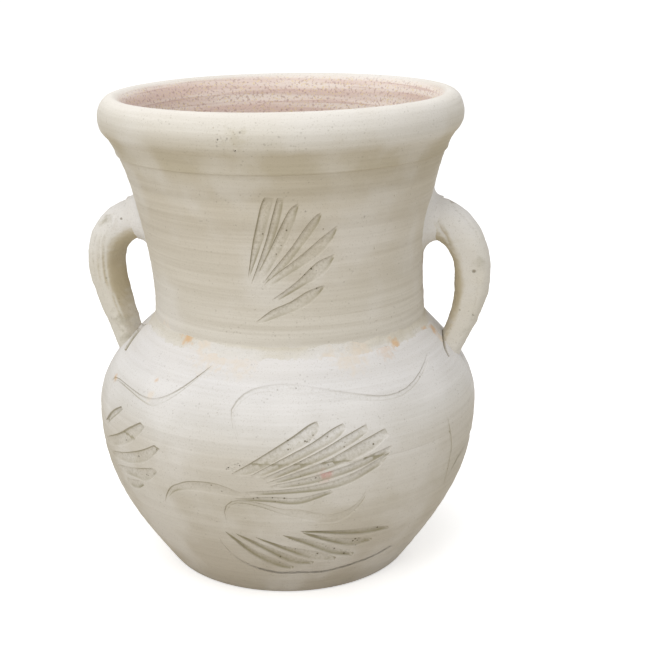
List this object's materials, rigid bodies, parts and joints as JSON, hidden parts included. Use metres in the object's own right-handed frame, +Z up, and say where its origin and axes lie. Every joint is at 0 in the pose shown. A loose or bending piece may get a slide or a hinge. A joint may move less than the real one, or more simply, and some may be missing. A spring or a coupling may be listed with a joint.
{
  "type": "two-handled jar",
  "caption": "Large unglazed earthenware jar with a round belly, a wide flaring neck, a thick rolled lip and strap handles from neck to shoulder.",
  "frame": {"origin": "middle of the underside, on the axis of the belly", "axes": "+Z up along the belly's axis; the two handles lie along X; the neck leans 2.2 degrees and its lip 0.7 degrees towards -X; the picture was taken from the -Y side"},
  "size_m": [0.4306, 0.407, 0.504],
  "materials": {
    "body_clay": "matte unglazed earthenware, carved",
    "neck_clay": "matte unglazed earthenware with fine throwing lines",
    "handle_clay": "matte unglazed earthenware, pulled by hand",
    "slip": "rough dried slip"
  },
  "bodies": {
    "root": {"base": "body_clay", "belly_lower": "body_clay", "belly_upper": "body_clay", "neck": "neck_clay", "lip": "neck_clay", "neck_seam_slip": "slip", "handle_left": "handle_clay", "handle_right": "handle_clay", "handle_left_slip": "slip", "handle_right_slip": "slip"}
  },
  "joints": []
}
